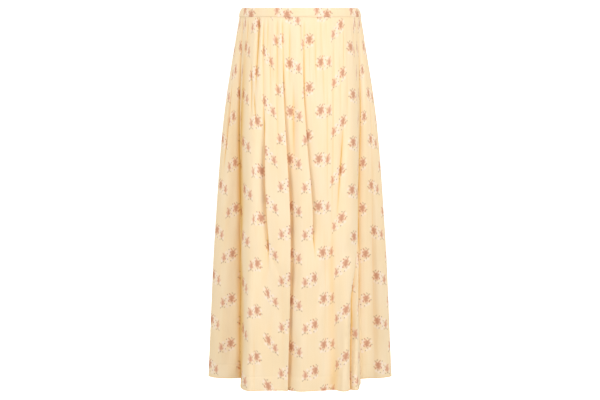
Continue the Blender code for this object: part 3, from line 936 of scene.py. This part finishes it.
def panel(name, cloth, start, end, side, columns, rows, material):
    """One panel between two side seams, its flat width and its hem's line. Its columns follow its folds."""
    top = PANEL_TOP - TUCKED_UNDER
    drops = top + (HEM - top) * np.linspace(0, 1, rows + 1) ** ROWS_LEAN
    drops = np.union1d(drops, HEM - np.array(HEM_ROWS))
    start += SEAM_GAP / 2
    end -= SEAM_GAP / 2
    at_knee = cloth.fold_lines(KNEE)[side]
    across = spread(start, end, at_knee, columns)
    across = np.concatenate([[2 * start - across[1]], across, [2 * end - across[-2]]])
    knots = np.concatenate([[across[0], start], at_knee, [end, across[-1]]])
    grid, flat, shades = [], [], []
    for drop in drops:
        moved = np.concatenate([[across[0], start], cloth.fold_lines(drop)[side], [end, across[-1]]])
        here = np.interp(across, knots, moved)
        grid.append(cloth.row(here, drop))
        flat.append(cloth.flat(here, drop))
        shades.append(cloth.shade(here, drop)[1:-1])
    grid = np.array(grid)
    normals = grid_normals(grid)[:, 1:-1]
    outer = grid[:, 1:-1]
    turned_up = np.where(drops > HEM - HEM_DEPTH, HEM_EXTRA, 0)
    inner = outer - (CLOTH_THICKNESS + turned_up)[:, None, None] * normals
    inner[-1, :, 2] = outer[-1, :, 2]
    # hollow carries painted shade in the folds and along the hem's edge, and painted light where it is
    # below 0
    hollow = hollows(outer, normals)
    hollow = np.clip(hollow + np.array(shades), -1, 1)
    at_edge = np.clip(1 - (HEM - drops) / HEM_EDGE, 0, 1)[:, None]
    hollow = np.where(at_edge > 0, np.maximum(hollow, HEM_EDGE_SHADE * at_edge), hollow)
    piece = shell(name, outer, inner, np.array(flat)[:, 1:-1], hollow, material)
    sewn = int(np.argmin(np.abs(drops - (HEM - HEM_DEPTH))))
    hem_line = outer[sewn] + HEM_SEAM.width * STITCH_LIFT * normals[sewn], normals[sewn]
    return piece, float(flat[0][-2, 0] - flat[0][1, 0]), hem_line


# The waistband's cross-section, once round: how far out of the band's middle line, and how high, as
# shares of its half thickness and half height
BAND_HALF = 0.0010
BAND_RING = (
    (1.0, -1.06), (1.12, -0.9), (1.15, -0.4), (1.2, 0.1), (1.15, 0.55), (1.0, 0.86), (0.72, 0.96),
    (0.0, 1.0), (-0.72, 0.96), (-1.0, 0.86), (-1.0, 0.0), (-1.0, -0.95), (-0.7, -1.05), (0.0, -1.09),
    (0.7, -1.09),
)
BAND_MIDDLE = 3  # the place in the ring that is halfway up the outer face
BAND_OUT = 0.0010  # how far the band's outer face stands out of the waist's ellipse
BAND_TURN_IN = 0.0055  # how far its top edge leans in at the sides
BAND_TURN_POWER = 24  # how close to the sides that stays
BAND_PRINT = -0.0376  # where a sprig's middle lies on the band
BAND_INTO_SEAM = 0.004  # how much of its cloth goes down into the seam
RUCHES = 46
RUCHE_HEIGHT = 0.0009
RUCHE_WANDERS, RUCHE_WANDER_WAVES = 1.5, 5  # how far ruches stray from even spacing, and how often
RUCHE_FADE = 0.3  # the smaller, the nearer to the side seams ruches keep their height


def waistband(name, start, end, ruched, material):
    """Half of the waistband between two turns round the waist in degrees, its flat width and its seam's
    line: a strip folded over at its top."""
    edge = degrees(SEAM_GAP / WAIST_WIDTH)
    turns = np.linspace(start + edge, end - edge, BAND_COLUMNS + 1)
    ring = len(BAND_RING)
    (_, seam_low), (_, seam_high) = BAND_RING[1:3]
    points, cloth, sewn, outward = [], [], [], []
    length = 0.0
    last = None
    for turn in turns:
        bound = (turn + 180) % 360 - 180
        share = (turn - start) / (end - start)
        strayed = RUCHE_WANDERS * sin(2 * pi * RUCHE_WANDER_WAVES * share)
        wave = sin(2 * pi * RUCHES * share + strayed) * sin(pi * share) ** RUCHE_FADE
        middle = Vector(on_waist(bound))
        if last is not None:
            length += (middle - last).length
        last = middle
        for out, up in BAND_RING:
            height = up * BAND_HEIGHT / 2
            taper = 1 - (1 - BAND_TAPER) * (up + 1) / 2
            lift = ruched * RUCHE_HEIGHT * wave * (1 - up * up)
            lean = BAND_TURN_IN * abs(sin(radians(bound))) ** BAND_TURN_POWER * ((up + 1) / 2) ** 3
            x, y = on_waist(bound, taper, (out - 1) * BAND_HALF + BAND_OUT + lift - lean)
            points.append((x, y, height))
            cloth.append((length, height))
        lower, upper = (Vector(points[place - ring]) for place in (1, 2))
        away = Vector((sin(radians(bound)), -cos(radians(bound)), 0))
        seam = lower.lerp(upper, (BAND_SEAM_UP - seam_low) / (seam_high - seam_low))
        sewn.append(seam + BAND_SEAM.width * STITCH_LIFT * away)
        outward.append(away)
    cloth = np.array(cloth)
    cloth[:, 0] -= length / 2
    cloth[:, 0] = PRINT_START[0] - (cloth[:, 0] - BAND_PRINT)
    cloth[:, 1] = PRINT_START[1] - cloth[:, 1]
    number = np.arange(len(points)).reshape(-1, ring)
    around = np.concatenate([number, number[:, :1]], axis=1)
    faces = quads(around.T[::-1]).tolist() + [number[0].tolist(), number[-1, ::-1].tolist()]
    points = np.array(points)
    piece = mesh_piece(name, points, np.array(faces, dtype=object), cloth, material)
    middle = points.reshape(-1, ring, 3)[:, BAND_MIDDLE]
    wide = float(np.linalg.norm(np.diff(middle, axis=0), axis=1).sum())
    return piece, wide, (sewn, outward)


def main():
    cloth = Cloth()
    half = cloth.front_half
    cotton = {slot: printed_cotton(slot + " cotton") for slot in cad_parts}
    thread = sewing_thread("sewing thread")
    tree = stitch_tree()
    front = panel(
        "front_cloth", cloth, -half, half, 0, FRONT_COLUMNS, FRONT_ROWS, cotton["front_panel"])
    back = panel(
        "back_cloth", cloth, half, cloth.round - half, 1, BACK_COLUMNS, BACK_ROWS, cotton["back_panel"])
    band_front = waistband("band_front", -90, 90, 0, cotton["waistband_front"])
    band_back = waistband("band_back", 90, 270, 1, cotton["waistband_back"])
    panel_tall = HEM - PANEL_TOP + HEM_DEPTH
    band_tall = BAND_HEIGHT + BAND_INTO_SEAM
    made = (
        ("front", "front_panel", HEM_SEAM, panel_tall, front),
        ("back", "back_panel", HEM_SEAM, panel_tall, back),
        ("band_front", "waistband_front", BAND_SEAM, band_tall, band_front),
        ("band_back", "waistband_back", BAND_SEAM, band_tall, band_back),
    )
    for title, node, seam, tall, (piece, wide, (path, outward)) in made:
        sewn = stitches(title + "_stitches", tree, seam, path, outward, thread)
        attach(piece, "root")
        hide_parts(node)
        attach(sewn, "root")
    studio()


# Studio


FLOOR_DROP = 1.15
FLOOR_REACH = 5.0
FLOOR_SIDES = 64
CURVE = 1.6
CURVE_TURNS = np.linspace(0.1, pi / 2, 12)
WALL_TOP = 3.6
CAMERA_DISTANCE = 3.3
CAMERA_TILT = 6.825
LENS = 94.2
AIR_COLOUR = (1.0, 0.965, 0.90, 1)
AIR_STRENGTH = 0.53
LAMP_COLOUR = (0.96, 1.0, 1.06)
LAMP_AIM = Vector((0, 0, -0.25))
Softbox = namedtuple("Softbox", "name place size power")
SOFTBOXES = (
    Softbox("key", (0.3, -2.6, 1.1), 1.6, 15),
    Softbox("fill", (-2.3, -2.1, 1.0), 1.8, 49),
    Softbox("side", (2.5, -1.95, 0.8), 1.6, 52),
    Softbox("back fill", (-1.0, 2.8, 0.8), 1.8, 26),
)


def studio():
    stage_floor()
    scene = bpy.context.scene
    scene.world = bpy.data.worlds.new("studio air")
    scene.world.use_nodes = True
    air = scene.world.node_tree.nodes["Background"]
    air.inputs["Color"].default_value = AIR_COLOUR
    air.inputs["Strength"].default_value = AIR_STRENGTH
    for box in SOFTBOXES:
        hang(box)
    camera = bpy.data.cameras.new("camera")
    camera.lens = LENS
    eye = bpy.data.objects.new("camera", camera)
    eye.location = (0, -CAMERA_DISTANCE, 0)
    eye.rotation_euler = (radians(90 - CAMERA_TILT), 0, 0)
    scene.collection.objects.link(eye)
    scene.camera = eye
    scene.view_settings.view_transform = "Standard"


def hang(box):
    """A soft, square lamp that points at the skirt."""
    lamp = bpy.data.lights.new(box.name, "AREA")
    lamp.size = box.size
    lamp.energy = box.power
    lamp.color = LAMP_COLOUR
    holder = bpy.data.objects.new(box.name, lamp)
    holder.location = box.place
    holder.rotation_euler = (LAMP_AIM - Vector(box.place)).to_track_quat("-Z", "Y").to_euler()
    bpy.context.scene.collection.objects.link(holder)


def stage_floor():
    """A pale floor that curves up into a wall all round."""
    profile = [(0.0, 0.0), (FLOOR_REACH, 0.0)]
    profile += [(FLOOR_REACH + CURVE * sin(turn), CURVE * (1 - cos(turn))) for turn in CURVE_TURNS]
    profile += [(FLOOR_REACH + CURVE, WALL_TOP)]
    points, faces = [], []
    for reach, height in profile:
        for side in range(FLOOR_SIDES):
            angle = 2 * pi * side / FLOOR_SIDES
            points.append((reach * cos(angle), reach * sin(angle), height - FLOOR_DROP))
    for ring in range(len(profile) - 1):
        low, high = ring * FLOOR_SIDES, (ring + 1) * FLOOR_SIDES
        for side in range(FLOOR_SIDES):
            after = (side + 1) % FLOOR_SIDES
            faces.append((low + side, high + side, high + after, low + after))
    mesh = bpy.data.meshes.new("studio_floor")
    mesh.from_pydata(points, [], faces)
    mesh.materials.append(studio_white("studio white"))
    mesh.shade_smooth()
    floor = bpy.data.objects.new("studio_floor", mesh)
    bpy.context.scene.collection.objects.link(floor)
    floor.visible_diffuse = False
    floor.visible_shadow = False


main()
